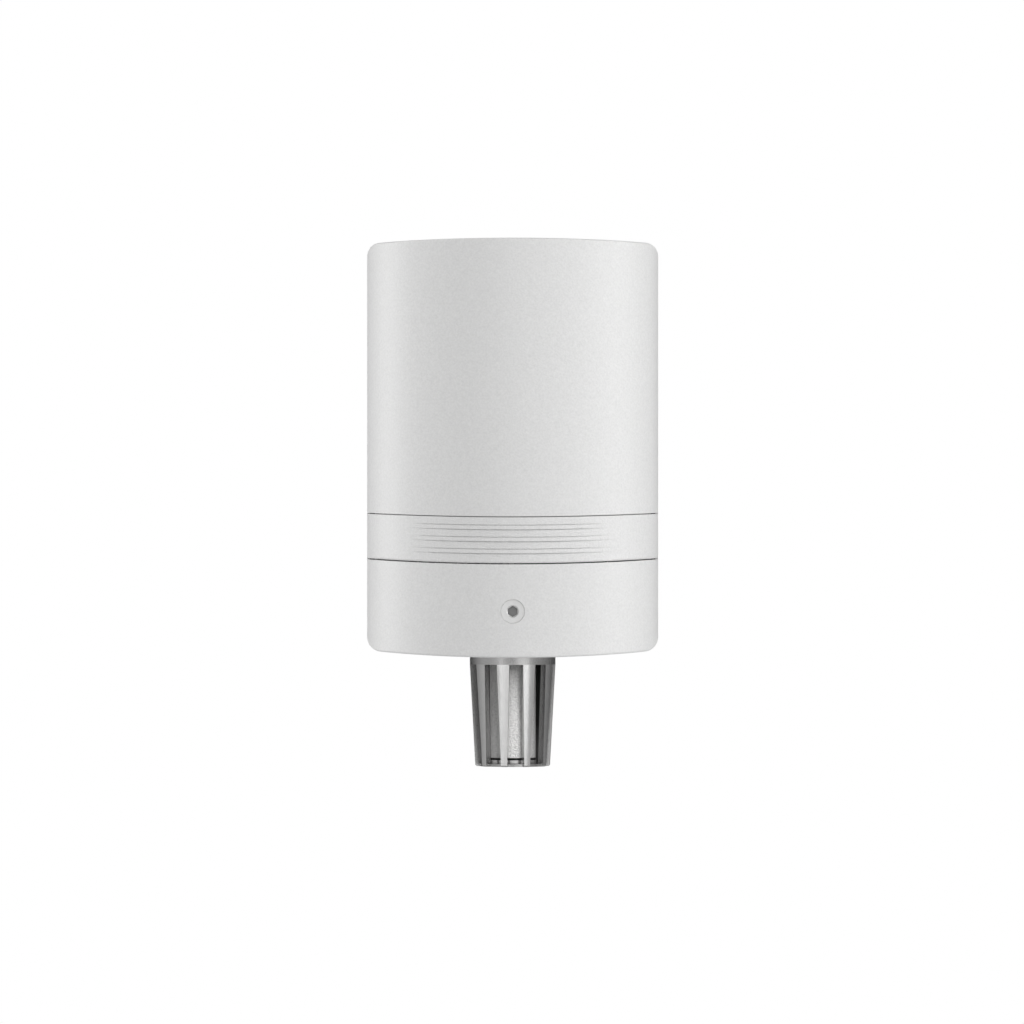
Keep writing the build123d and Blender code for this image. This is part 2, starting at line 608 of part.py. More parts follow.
def make_service_button():
    """Push switch with a round plunger."""
    x, z, half = BUTTON_X, BUTTON_Z, BUTTON_HALF_W
    housing = on_board(x - half, x + half, z - half, z + half, BUTTON_HEIGHT)
    housing -= post_on_board(x, z, BUTTON_WELL_R, REACH, BUTTON_WELL_FLOOR)
    save(housing, "button_housing")
    save(post_on_board(x, z, PLUNGER_R, *PLUNGER_Y), "service_button")


def make_cable_grommet():
    """Rubber grommet in the back wall, with a flange inside."""
    grommet = post(CABLE_X, CABLE_Z, CABLE_HOLE_R, -FLOOR, 0)
    grommet += post(CABLE_X, CABLE_Z, GROMMET_FLANGE_R, -FLOOR - GROMMET_FLANGE_T, -FLOOR)
    return grommet - post(CABLE_X, CABLE_Z, CABLE_R, -REACH, REACH)


save(make_upper_cover(), "upper_cover")
save(make_grip_band(), "grip_band")
save(make_lower_cover(), "lower_cover")
save(make_rear_case(), "rear_case")
save(make_case_gasket(), "case_gasket")
save(make_cover_screw(), "cover_screw")
save(make_screw_retainer(), "screw_retainer")
save(make_thread_insert(), "thread_insert")
save(make_sensor_cage(), "sensor_cage")
save(make_cage_cap(), "cage_cap")
save(make_cable_grommet(), "cable_grommet")
save(make_sensor_lead(), "sensor_lead")
make_probe()
make_board_parts()
make_terminals()
make_dip_switch()
make_service_button()
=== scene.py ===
import json
import math
import random

import bmesh
import bpy
from mathutils import Matrix, Vector


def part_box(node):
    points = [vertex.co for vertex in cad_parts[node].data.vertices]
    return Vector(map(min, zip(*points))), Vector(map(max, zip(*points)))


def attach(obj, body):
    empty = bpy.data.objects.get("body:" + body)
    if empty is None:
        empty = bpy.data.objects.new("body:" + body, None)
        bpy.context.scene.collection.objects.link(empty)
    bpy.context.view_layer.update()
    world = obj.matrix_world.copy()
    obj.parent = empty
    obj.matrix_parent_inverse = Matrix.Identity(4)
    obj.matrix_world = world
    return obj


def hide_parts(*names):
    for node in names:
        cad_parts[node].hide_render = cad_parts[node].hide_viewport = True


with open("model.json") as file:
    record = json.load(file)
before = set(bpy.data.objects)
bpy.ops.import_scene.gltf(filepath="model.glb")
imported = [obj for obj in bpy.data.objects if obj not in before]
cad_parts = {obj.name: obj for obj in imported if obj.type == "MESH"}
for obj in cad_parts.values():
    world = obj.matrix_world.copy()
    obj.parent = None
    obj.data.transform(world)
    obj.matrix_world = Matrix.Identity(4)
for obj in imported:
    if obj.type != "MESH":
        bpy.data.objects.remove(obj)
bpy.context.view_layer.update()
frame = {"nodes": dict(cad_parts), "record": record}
random.seed(11)

# A wall-mounted air sensor head: finishes for the CAD pieces, small pieces on the circuit board, a
# grainy mesh for the porous sleeve, and a white studio. Metres, in the frame of the CAD model.
MM = 0.001

# ---- camera and floor ----
CAMERA_POS = (-0.00014, -1.742, -0.013725)
CAMERA_LENS = 281.25
FLOOR_Z = -0.25
FLOOR_RADIUS = 1.5
FLOOR_GLOW = 0.3

# ---- softboxes: brightness, and distance from the object in metres ----
LEFT_STRIP = 3.4
RIGHT_STRIP = 1.9
SIDE_STRIP = 2.2
FRONT_STRIP = 1.75
LOW_CARD = 1.7
SLEEVE_CARD = 11.0
BACK_FILL = 0.8
BOX_DISTANCE = 1.5
FRONT_STRIP_DISTANCE = 1.7


# ---- small helpers for node trees ----
class Tree:
    """A node tree with short ways to add nodes and link them."""

    def __init__(self, tree):
        self.tree = tree
        self.tree.nodes.clear()

    def add(self, kind, inputs=None, **settings):
        node = self.tree.nodes.new(kind)
        for key, value in settings.items():
            setattr(node, key, value)
        for key, value in (inputs or {}).items():
            self.feed(node.inputs[key], value)
        return node

    def feed(self, socket, value):
        if isinstance(value, bpy.types.NodeSocket):
            self.tree.links.new(value, socket)
        else:
            socket.default_value = value

    def math(self, operation, a, b=0.0, c=0.0):
        node = self.add("ShaderNodeMath", operation=operation)
        self.feed(node.inputs[0], a)
        self.feed(node.inputs[1], b)
        self.feed(node.inputs[2], c)
        return node.outputs[0]

    def mix(self, factor, a, b):
        node = self.add("ShaderNodeMix", data_type="RGBA")
        self.feed(node.inputs["Factor"], factor)
        self.feed(node.inputs[6], a)
        self.feed(node.inputs[7], b)
        return node.outputs[2]

    def ramp(self, value, stops, interpolation="LINEAR"):
        node = self.add("ShaderNodeValToRGB", {"Fac": value})
        ramp = node.color_ramp
        ramp.interpolation = interpolation
        while len(ramp.elements) < len(stops):
            ramp.elements.new(0.5)
        for element, (position, level) in zip(ramp.elements, stops):
            element.position = position
            element.color = (level, level, level, 1)
        return node.outputs["Color"]

    def coords(self, stretch=(1, 1, 1)):
        """Coordinates that stay with the piece, in metres."""
        where = self.add("ShaderNodeTexCoord").outputs["Object"]
        if stretch == (1, 1, 1):
            return where
        return self.add("ShaderNodeMapping", {"Vector": where, "Scale": stretch}).outputs["Vector"]

    def noise(self, size_mm, detail=2.0, rough=0.5, stretch=(1, 1, 1)):
        """Noise whose features are about size_mm across."""
        inputs = {
            "Vector": self.coords(stretch),
            "Scale": 1000 / size_mm,
            "Detail": detail,
            "Roughness": rough,
        }
        return self.add("ShaderNodeTexNoise", inputs).outputs["Fac"]

    def bump(self, height, depth_mm, before=None):
        """Relief of this depth, laid over the relief before it."""
        node = self.add("ShaderNodeBump", {"Height": height, "Distance": depth_mm * MM, "Strength": 1.0})
        if before is not None:
            self.feed(node.inputs["Normal"], before)
        return node.outputs["Normal"]

    def surface(self, **inputs):
        """Principled surface as the tree's result."""
        shader = self.add("ShaderNodeBsdfPrincipled", {key.replace("_", " "): v for key, v in inputs.items()})
        out = self.add("ShaderNodeOutputMaterial")
        self.feed(out.inputs["Surface"], shader.outputs[0])


def material(name):
    made = bpy.data.materials.new(name)
    made.use_nodes = True
    return made, Tree(made.node_tree)


def rgb(r, g, b):
    return (r, g, b, 1)


def shade(colour, factor):
    return (colour[0] * factor, colour[1] * factor, colour[2] * factor, 1)


# ---- finishes ----
SLOT_TOP = -0.04648  # height at which the cage's fingers start
CAGE_TAPER = 0.0542  # how much the fingers draw in for each metre down
FLANK_REACH = 2 * MM
# how lit and polished the cage's metal is, by depth from its outside in shares of the flanks' reach: a thin
# painted dark line along the outer edges, then painted shade down to near black on the flanks and inside
FLANK_LIT_AND_POLISHED = [(0.02, 1.0), (0.04, 0.3), (0.09, 0.85), (0.6, 0.8), (0.74, 0.03)]


def moulded(name, colour, roughness, grain_mm, depth_mm, mottle, blotch_mm, fine_share=0.4):
    """Moulded plastic with a spark-eroded grain and faint blotches."""
    made, t = material(name)
    fine = t.noise(grain_mm, 3.0, 0.6)
    coarse = t.noise(blotch_mm, 2.0, 0.5)
    tone = t.math("ADD", t.math("MULTIPLY", fine, fine_share), t.math("MULTIPLY", coarse, 1 - fine_share))
    tint = t.mix(tone, shade(colour, 1 - mottle), shade(colour, 1 + mottle))
    rough = t.math("MULTIPLY_ADD", fine, 0.12, roughness - 0.06)
    relief = t.bump(coarse, depth_mm * (1 - fine_share), t.bump(fine, depth_mm))
    t.surface(Base_Color=tint, Roughness=rough, Normal=relief, IOR=1.46)
    return made


STREAK_MM = 0.12
STREAK_DEPTH = 0.002  # millimetres
STREAK_STRETCH = 0.04  # a streak's width as a share of its length
CLOUD_MM = 2.5


def turned(name, colour, roughness, along=2, mottle=0.08):
    """Machined or drawn metal with fine streaks along one axis."""
    made, t = material(name)
    stretch = [1.0, 1.0, 1.0]
    stretch[along] = STREAK_STRETCH
    streaks = t.noise(STREAK_MM, 3.0, 0.6, tuple(stretch))
    cloud = t.noise(CLOUD_MM, 3.0, 0.55)
    tint = t.mix(cloud, shade(colour, 1 - mottle), shade(colour, 1 + mottle))
    rough = t.math("MULTIPLY_ADD", streaks, 0.14, roughness - 0.07)
    relief = t.bump(streaks, STREAK_DEPTH, t.bump(cloud, STREAK_DEPTH * 2))
    t.surface(Base_Color=tint, Roughness=rough, Normal=relief, Metallic=1.0)
    return made


def caged_with_painted_shade(name, colour, roughness):
    """Turned metal, satin outside, duller on the flanks and inside, with painted shade there down to near
    black and a thin painted dark line along the outer edges.
    """
    made, t = material(name)
    low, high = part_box("sensor_cage")
    middle = (low + high) / 2
    collar = (high[0] - low[0]) / 2
    axis_foot = (middle[0], middle[1], 0)
    across = t.add("ShaderNodeVectorMath", {0: t.coords(), 1: axis_foot}, operation="SUBTRACT")
    parts = t.add("ShaderNodeSeparateXYZ", {"Vector": across.outputs["Vector"]})
    flat = t.add("ShaderNodeCombineXYZ", {"X": parts.outputs["X"], "Y": parts.outputs["Y"]})
    radius = t.add("ShaderNodeVectorMath", {0: flat.outputs[0]}, operation="LENGTH").outputs["Value"]
    down = t.math("SUBTRACT", SLOT_TOP, parts.outputs["Z"])
    taper = t.math("MULTIPLY", t.math("MAXIMUM", down, 0.0), CAGE_TAPER)
    depth = t.math("SUBTRACT", t.math("SUBTRACT", collar, taper), radius)
    lit_and_polished = t.ramp(t.math("DIVIDE", depth, FLANK_REACH), FLANK_LIT_AND_POLISHED)
    shaded_and_dull = t.math("SUBTRACT", 1.0, lit_and_polished)
    streaks = t.noise(STREAK_MM, 3.0, 0.6, (1.0, 1.0, STREAK_STRETCH))
    cloud = t.noise(CLOUD_MM, 3.0, 0.55)
    bright = t.mix(cloud, shade(colour, 0.93), shade(colour, 1.07))
    # painted shade: on the flanks, inside and in a thin line along the outer edges the metal's colour is
    # darkened, down to 3% of it
    tint = t.mix(shaded_and_dull, bright, shade(colour, 0.03))
    rough = t.math("MULTIPLY_ADD", shaded_and_dull, 0.25, t.math("MULTIPLY_ADD", streaks, 0.14, roughness - 0.07))
    relief = t.bump(streaks, STREAK_DEPTH, t.bump(cloud, STREAK_DEPTH * 2))
    t.surface(Base_Color=tint, Roughness=rough, Normal=relief, Metallic=1.0)
    return made


GRAIN_MM = 0.25
PORE_DEPTH = 0.08  # millimetres


def sintered(name, colour):
    """Porous sintered metal: fine bright grains, with painted shade in the pores between them."""
    made, t = material(name)
    cells = {"Vector": t.coords(), "Scale": 1000 / GRAIN_MM, "Randomness": 1.0}
    grains = t.add("ShaderNodeTexVoronoi", cells)
    dots = grains.outputs["Distance"]
    fine = t.noise(0.17, 3.0, 0.65)
    pore_shade = t.ramp(t.math("MULTIPLY_ADD", fine, 0.6, dots), [(0.4, 1.0), (1.1, 0.3)])
    # painted shade: the pores between the grains are darker, down to 55% of the colour
    tint = t.mix(pore_shade, shade(colour, 0.55), shade(colour, 1.12))
    height = t.math("SUBTRACT", t.math("MULTIPLY", fine, 0.5), dots)
    t.surface(Base_Color=tint, Roughness=0.42, Normal=t.bump(height, PORE_DEPTH), Metallic=0.35)
    return made


def rubber(name, colour):
    """Matt rubber with a little dust on it."""
    made, t = material(name)
    fine = t.noise(0.35, 3.0, 0.6)
    dust = t.noise(3.0, 4.0, 0.6)
    tint = t.mix(dust, shade(colour, 0.8), shade(colour, 1.5))
    t.surface(Base_Color=tint, Roughness=t.math("MULTIPLY_ADD", dust, 0.2, 0.55), Normal=t.bump(fine, 0.01))
    return made


def tracks(t, turn, spacing_mm, place):
    """Straight copper tracks on the board's face, broken off wherever the patch noise says so."""
    where = t.add("ShaderNodeMapping", {
        "Vector": t.coords(), "Rotation": (math.radians(90), 0, 0)}).outputs[0]
    where = t.add("ShaderNodeMapping", {
        "Vector": where, "Rotation": (0, 0, math.radians(turn)), "Location": (place, place, 0)}).outputs[0]
    lines = t.add("ShaderNodeTexBrick", {
        "Vector": where, "Scale": 1000 / spacing_mm, "Mortar Size": 0.13, "Mortar Smooth": 0.2,
        "Color1": rgb(0, 0, 0), "Color2": rgb(0, 0, 0), "Mortar": rgb(1, 1, 1),
        "Brick Width": 24.0, "Row Height": 1.0}).outputs["Color"]
    patch = t.ramp(t.noise(5.0 + place, 1.0, 0.4), [(0.49, 0.0), (0.5, 1.0)])
    return t.math("MULTIPLY", lines, patch)


def circuit_board(name):
    """Solder mask over copper: straight tracks a shade lighter, woven glass just felt in the relief."""
    made, t = material(name)
    across = tracks(t, 0, 0.9, 0.0)
    upright = tracks(t, 90, 1.1, 1.5)
    copper = t.math("MAXIMUM", across, upright)
    cloud = t.noise(4.0, 3.0, 0.6)
    weave = t.noise(0.5, 2.0, 0.5)
    mask = t.mix(cloud, rgb(0.011, 0.1, 0.042), rgb(0.018, 0.14, 0.06))
    tint = t.mix(copper, mask, rgb(0.025, 0.2, 0.085))
    relief = t.bump(copper, 0.03, t.bump(weave, 0.008))
    t.surface(Base_Color=tint, Roughness=t.math("MULTIPLY_ADD", weave, 0.1, 0.27), Normal=relief)
    return made


SOCKET_SHADE_DEPTHS = (0.31 * MM, 0.36 * MM)  # the painted shade in the screw's socket sets in between these depths


def painted_metal(name, colour):
    """Thin light coating on a screw, with painted shade down in its socket."""
    made, t = material(name)
    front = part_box("cover_screw")[0][1]
    where = t.add("ShaderNodeSeparateXYZ", {"Vector": t.coords()})
    socket_shade = t.add("ShaderNodeMapRange", {
        "Value": where.outputs["Y"],
        "From Min": front + SOCKET_SHADE_DEPTHS[0],
        "From Max": front + SOCKET_SHADE_DEPTHS[1],
    }).outputs[0]
    peel = t.noise(0.5, 2.0, 0.5)
    fine = t.noise(0.15, 2.0, 0.6)
    coat = t.mix(peel, shade(colour, 0.95), shade(colour, 1.04))
    # painted shade: deeper than these depths in the socket the colour is darkened to 40%
    tint = t.mix(socket_shade, coat, shade(colour, 0.4))
    t.surface(Base_Color=tint, Roughness=t.math("MULTIPLY_ADD", fine, 0.12, 0.34),
              Normal=t.bump(peel, 0.006, t.bump(fine, 0.002)), Metallic=0.3)
    return made


def clear_lens(name, colour):
    """Glossy lens of a small lamp."""
    made, t = material(name)
    cloud = t.noise(0.8, 2.0, 0.5)
    tint = t.mix(cloud, shade(colour, 0.9), shade(colour, 1.05))
    t.surface(Base_Color=tint, Roughness=t.math("MULTIPLY_ADD", cloud, 0.1, 0.12), IOR=1.5)
    return made


finishes = {
    "housing_white": moulded("housing_white", (0.80, 0.80, 0.797), 0.42, 0.42, 0.045, 0.16, 0.9, 0.75),
    "cage_metal": caged_with_painted_shade("cage_metal", (0.6, 0.597, 0.593), 0.2),
    "cap_metal": turned("cap_metal", (0.8, 0.797, 0.79), 0.3, along=2),
    "sintered": sintered("sintered", (0.9, 0.895, 0.885)),
    "screw_coated": painted_metal("screw_coated", (0.7, 0.7, 0.695)),
    "spring_steel": turned("spring_steel", (0.62, 0.62, 0.61), 0.28),
    "brass": turned("brass", (0.80, 0.60, 0.28), 0.26, along=1),
    "black_rubber": rubber("black_rubber", (0.022, 0.022, 0.023)),
    "grey_rubber": rubber("grey_rubber", (0.13, 0.13, 0.135)),
    "board_green": circuit_board("board_green"),
    "chip_black": moulded("chip_black", (0.022, 0.022, 0.024), 0.42, 0.12, 0.006, 0.25, 0.8),
    "can_metal": turned("can_metal", (0.78, 0.78, 0.79), 0.24, along=1),
    "led_clear": clear_lens("led_clear", (0.75, 0.9, 0.7)),
    "terminal_grey": moulded("terminal_grey", (0.105, 0.108, 0.112), 0.45, 0.2, 0.008, 0.08, 1.2),
    "switch_red": moulded("switch_red", (0.42, 0.025, 0.02), 0.4, 0.2, 0.006, 0.06, 1.0),
    "ivory_plastic": moulded("ivory_plastic", (0.74, 0.71, 0.6), 0.42, 0.2, 0.006, 0.05, 1.0),
    "sensor_white": moulded("sensor_white", (0.82, 0.82, 0.8), 0.5, 0.15, 0.004, 0.04, 0.6),
    "tin": turned("tin", (0.74, 0.74, 0.73), 0.22, along=0),
}

for part in frame["record"]["subparts"]:
    node = frame["nodes"][part["node"]]
    node.data.materials.clear()
    own = "cap_metal" if part["node"] == "cage_cap" else part["material_slot"]
    node.data.materials.append(finishes[own])


# ---- extra pieces ----
def piece(name, mesh_maker, finish, body, bevel_mm=0.0):
    """Object made by mesh_maker(bmesh), in the row frame, riding on a body."""
    bm = bmesh.new()
    mesh_maker(bm)
    mesh = bpy.data.meshes.new(name)
    bm.to_mesh(mesh)
    bm.free()
    made = bpy.data.objects.new(name, mesh)
    bpy.context.scene.collection.objects.link(made)
    mesh.materials.append(finishes[finish])
    if bevel_mm:
        bevel = made.modifiers.new("bevel", "BEVEL")
        bevel.width = bevel_mm * MM
        bevel.segments = 2
        bevel.limit_method = "ANGLE"
    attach(made, body)
    return made


def add_box(bm, low, high):
    """Box between two corners, in millimetres."""
    middle = [(a + b) / 2 * MM for a, b in zip(low, high)]
    size = [abs(b - a) * MM for a, b in zip(low, high)]
    place = Matrix.Translation(middle) @ Matrix.Diagonal((*size, 1))
    bmesh.ops.create_cube(bm, size=1.0, matrix=place)


def add_ring(bm, x, z, inner, outer, y_front, y_back, segments=40):
    """Flat ring round an axis along Y, in millimetres."""
    loops = []
    for radius, y in ((inner, y_back), (outer, y_back), (outer, y_front), (inner, y_front)):
        loop = []
        for step in range(segments):
            angle = 2 * math.pi * step / segments
            point = Vector((x + radius * math.cos(angle), y, z + radius * math.sin(angle))) * MM
            loop.append(bm.verts.new(point))
        loops.append(loop)
    for a, b in zip(loops, loops[1:] + loops[:1]):
        for step in range(segments):
            other = (step + 1) % segments
            bm.faces.new((a[step], b[step], b[other], a[other]))
    bmesh.ops.recalc_face_normals(bm, faces=bm.faces)


def millimetres(node):
    """Low and high corner of a CAD node, in millimetres."""
    low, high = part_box(node)
    return [v / MM for v in low], [v / MM for v in high]


BOARD_FACE = millimetres("main_board")[0][1]
PINS_A_SIDE = 12
PIN_PITCH = 0.8
LEG_WIDTH = 0.32
# stretches of a gull-wing leg: start and end of its reach, lower and upper height over the board
LEG_STRETCHES = ((-0.1, 0.5, 0.55, 0.7), (0.4, 0.55, 0.0, 0.7), (0.45, 1.1, 0.0, 0.15))
REGULATOR_PITCH = 1.3
REGULATOR_LEG_WIDTH = 0.6
REGULATOR_TAB_WIDTH = 3.0
PASSIVE_LENGTH = 2.0
PASSIVE_WIDTH = 1.25


def add_leg(bm, x, z, out_x, out_z, width=LEG_WIDTH):
    """Gull-wing leg that leaves a chip's side towards (out_x, out_z)."""
    for reach_0, reach_1, lift_0, lift_1 in LEG_STRETCHES:
        half_x = width / 2 * abs(out_z)
        half_z = width / 2 * abs(out_x)
        xs = sorted((x + out_x * reach_0, x + out_x * reach_1))
        zs = sorted((z + out_z * reach_0, z + out_z * reach_1))
        low = (xs[0] - half_x, BOARD_FACE - lift_1, zs[0] - half_z)
        high = (xs[1] + half_x, BOARD_FACE - lift_0, zs[1] + half_z)
        add_box(bm, low, high)


def chip_legs(bm):
    """Legs on all four sides of the processor."""
    low, high = millimetres("processor_chip")
    middle_x = (low[0] + high[0]) / 2
    middle_z = (low[2] + high[2]) / 2
    for pin in range(PINS_A_SIDE):
        offset = (pin - (PINS_A_SIDE - 1) / 2) * PIN_PITCH
        add_leg(bm, low[0], middle_z + offset, -1, 0)
        add_leg(bm, high[0], middle_z + offset, 1, 0)
        add_leg(bm, middle_x + offset, low[2], 0, -1)
        add_leg(bm, middle_x + offset, high[2], 0, 1)


def regulator_legs(bm):
    """Three legs on the regulator's lower side and its wide tab above."""
    low, high = millimetres("regulator")
    middle = (low[0] + high[0]) / 2
    for offset in (-REGULATOR_PITCH, 0.0, REGULATOR_PITCH):
        add_leg(bm, middle + offset, low[2], 0, -1, REGULATOR_LEG_WIDTH)
    add_leg(bm, middle, high[2], 0, 1, REGULATOR_TAB_WIDTH)


def passive_places():
    """Middles of the small two-ended parts, and whether they lie along X."""
    places = [(x, 0.8, False) for x in (-5.0, -2.5, 0.0, 2.5, 5.0)]
    places += [(x, 19.0, True) for x in (-2.0, 2.0)]
    places += [(-9.4, z, True) for z in (5.5, 8.5, 11.5, 14.5)]
    places += [(9.6, z, True) for z in (5.0, 8.0, 11.0, 14.0)]
    places += [(x, -18.6, False) for x in (-11.0, -6.5, -2.0)]
    places += [(x, -2.6, False) for x in (8.0, 10.6, 13.2, 15.8)]
    places += [(x, 29.5, False) for x in (-6.0, -3.0, 3.0, 6.0)]
    return places


def add_passives(bm, low_part, high_part, thick):
    """Stretches of every small two-ended part, from and to these shares of its length."""
    half = PASSIVE_WIDTH / 2
    for x, z, along_x in passive_places():
        for share_0, share_1 in zip(low_part, high_part):
            a = (share_0 - 0.5) * PASSIVE_LENGTH
            b = (share_1 - 0.5) * PASSIVE_LENGTH
            if along_x:
                low = (x + a, BOARD_FACE - thick, z - half)
                high = (x + b, BOARD_FACE, z + half)
            else:
                low = (x - half, BOARD_FACE - thick, z + a)
                high = (x + half, BOARD_FACE, z + b)
            add_box(bm, low, high)


CAN_BASE_HALF = 2.75
CAN_BASE_HEIGHT = 0.9
MARK_START = math.radians(125)
MARK_SWEEP = math.radians(110)
MARK_STEPS = 12
MARK_SHARE = 0.9  # of the can's radius
INDUCTOR_RING = (1.9, 2.5)
INDUCTOR_PAD_HEIGHT = 0.35


def can_middles():
    """Middle and radius of each capacitor can, seen from the front."""
    low, high = millimetres("capacitors")
    radius = (high[2] - low[2]) / 2
    middle_z = (low[2] + high[2]) / 2
    return [(x, middle_z, radius) for x in (low[0] + radius, high[0] - radius)]


def capacitor_bases(bm):
    """Square plastic foot of each capacitor can."""
    for x, z, radius in can_middles():
        half_z = radius + 0.25
        low = (x - CAN_BASE_HALF, BOARD_FACE - CAN_BASE_HEIGHT, z - half_z)
        add_box(bm, low, (x + CAN_BASE_HALF, BOARD_FACE, z + half_z))


def capacitor_stripes(bm):
    """Dark sector on each can's top that marks its negative side."""
    top = millimetres("capacitors")[0][1]
    for x, z, radius in can_middles():
        points = []
        for step in range(MARK_STEPS + 1):
            angle = MARK_START + step * MARK_SWEEP / MARK_STEPS
            reach = MARK_SHARE * radius
            points.append((x + reach * math.cos(angle), z + reach * math.sin(angle)))
        front = [bm.verts.new(Vector((px, top - 0.03, pz)) * MM) for px, pz in points]
        back = [bm.verts.new(Vector((px, top + 0.05, pz)) * MM) for px, pz in points]
        bm.faces.new(front)
        bm.faces.new(back[::-1])
        for a in range(len(points)):
            b = (a + 1) % len(points)
            bm.faces.new((front[b], front[a], back[a], back[b]))
    bmesh.ops.recalc_face_normals(bm, faces=bm.faces)


def inductor_winding(bm):
    """Ring of potting, a little proud of the block."""
    low, high = millimetres("inductor")
    x, z = (low[0] + high[0]) / 2, (low[2] + high[2]) / 2
    add_ring(bm, x, z, *INDUCTOR_RING, low[1] - 0.12, low[1] + 0.2)


def inductor_pads(bm):
    """Soldered pads at both ends of the inductor."""
    low, high = millimetres("inductor")
    for x0, x1 in ((low[0] - 0.5, low[0] + 0.6), (high[0] - 0.6, high[0] + 0.5)):
        corner = (x0, BOARD_FACE - INDUCTOR_PAD_HEIGHT, low[2] + 1.4)
        add_box(bm, corner, (x1, BOARD_FACE, high[2] - 1.4))


SCREW_HEAD_R = 2.3
LAND_RING = (1.5, 3.0)
WIRE_WAYS = 4
CLAMP_BOTTOM = 0.6  # over the block's lower side
CLAMP_TOP = 3.4
CLAMP_HALF_W = 1.6
CLAMP_FRONT = BOARD_FACE - 4.9
CLAMP_BACK = BOARD_FACE - 1.7
CLAMP_T = 0.35
CLAMP_SIDE_T = 0.3
CRYSTAL_AT = (0.0, -5.5)
CRYSTAL_RIM = (5.5, 2.2, 0.5)  # half length, half width, height over the board
CRYSTAL_CAN = (5.0, 1.8, 3.4)
SOCKET_PINS = 3
SOCKET_PITCH = 1.3
SWITCH_WAYS = 4
SWITCH_PITCH = 2.54
PAD_HEIGHT = 0.3


def screw_lands(bm):
    """Tinned rings round the board's four screws."""
    low, high = millimetres("board_screws")
    for x in (low[0] + SCREW_HEAD_R, high[0] - SCREW_HEAD_R):
        for z in (low[2] + SCREW_HEAD_R, high[2] - SCREW_HEAD_R):
            add_ring(bm, x, z, *LAND_RING, BOARD_FACE - 0.04, BOARD_FACE + 0.02)


def terminal_clamps(bm):
    """Plated lifting cages in the terminal block's wire mouths."""
    low, high = millimetres("terminal_block")
    pitch = (high[0] - low[0]) / WIRE_WAYS
    z0, z1 = low[2] + CLAMP_BOTTOM, low[2] + CLAMP_TOP
    for way in range(WIRE_WAYS):
        x = low[0] + (way + 0.5) * pitch
        left, right = x - CLAMP_HALF_W, x + CLAMP_HALF_W
        add_box(bm, (left, CLAMP_BACK - CLAMP_T, z0), (right, CLAMP_BACK, z1))
        add_box(bm, (left, CLAMP_FRONT, z0), (right, CLAMP_FRONT + CLAMP_T, z1))
        add_box(bm, (left, CLAMP_FRONT, z0), (left + CLAMP_SIDE_T, CLAMP_BACK, z1))
        add_box(bm, (right - CLAMP_SIDE_T, CLAMP_FRONT, z0), (right, CLAMP_BACK, z1))


def crystal_can(bm):
    """Low metal can of the clock crystal, with a rim at its foot."""
    x, z = CRYSTAL_AT
    half_x, half_z, height = CRYSTAL_RIM
    add_box(bm, (x - half_x, BOARD_FACE - height, z - half_z), (x + half_x, BOARD_FACE, z + half_z))
    half_x, half_z, height = CRYSTAL_CAN
    add_box(bm, (x - half_x, BOARD_FACE - height, z - half_z), (x + half_x, BOARD_FACE - 0.4, z + half_z))


def socket_pins(bm):
    """Pins that leave the lead socket's lower side."""
    low = millimetres("lead_socket")[0]
    for step in range(SOCKET_PINS):
        x = low[0] + 1.2 + step * SOCKET_PITCH
        add_box(bm, (x - 0.25, low[1] + 1.6, low[2] - 0.9), (x + 0.25, low[1] + 2.1, low[2] + 0.1))


def dip_pads(bm):
    """Soldered legs along both long sides of the slide switch."""
    low, high = millimetres("dip_switch")
    for way in range(SWITCH_WAYS):
        x = low[0] + (way + 0.5) * SWITCH_PITCH
        add_box(bm, (x - 0.5, BOARD_FACE - PAD_HEIGHT, low[2] - 1.1), (x + 0.5, BOARD_FACE, low[2] + 0.1))
        add_box(bm, (x - 0.5, BOARD_FACE - PAD_HEIGHT, high[2] - 0.1), (x + 0.5, BOARD_FACE, high[2] + 1.1))


def button_pads(bm):
    """Soldered legs at the button's four corners."""
    low, high = millimetres("button_housing")
    front = BOARD_FACE - PAD_HEIGHT
    for z in (low[2] + 1.0, high[2] - 1.0):
        add_box(bm, (low[0] - 1.0, front, z - 0.4), (low[0] + 0.1, BOARD_FACE, z + 0.4))
        add_box(bm, (high[0] - 0.1, front, z - 0.4), (high[0] + 1.0, BOARD_FACE, z + 0.4))


SLEEVE_PIT = 0.04
SLEEVE_BORE = 4.2
SLEEVE_ROWS = 110
SLEEVE_COLUMNS = 170


def sleeve_loop(bm, middle, z, twist, radii):
    """Closed loop of points round the sleeve's axis, turned by this share of a column."""
    loop = []
    for column, radius in enumerate(radii):
        angle = 2 * math.pi * (column + twist) / SLEEVE_COLUMNS
        place = (middle[0] + radius * math.cos(angle), middle[1] + radius * math.sin(angle), z)
        loop.append(bm.verts.new(Vector(place) * MM))
    return loop


def grainy_sleeve(bm):
    """Tube of the sleeve's size whose outside is pitted by random grains."""
    low, high = millimetres("filter_sleeve")
    middle = ((low[0] + high[0]) / 2, (low[1] + high[1]) / 2)
    outer = (high[0] - low[0]) / 2
    loops = []
    for row in range(SLEEVE_ROWS + 1):
        z = low[2] + (high[2] - low[2]) * row / SLEEVE_ROWS
        radii = [outer] * SLEEVE_COLUMNS
        if row not in (0, SLEEVE_ROWS):
            radii = [outer - random.random() ** 2 * SLEEVE_PIT for _ in range(SLEEVE_COLUMNS)]
        loops.append(sleeve_loop(bm, middle, z, 0.5 * (row % 2), radii))
    for z in (high[2], low[2]):
        loops.append(sleeve_loop(bm, middle, z, 0.0, [SLEEVE_BORE] * SLEEVE_COLUMNS))
    for a, b in zip(loops, loops[1:] + loops[:1]):
        for column in range(SLEEVE_COLUMNS):
            other = (column + 1) % SLEEVE_COLUMNS
            bm.faces.new((a[column], a[other], b[other], b[column]))
    for face in bm.faces:
        face.smooth = True
    bmesh.ops.recalc_face_normals(bm, faces=bm.faces)


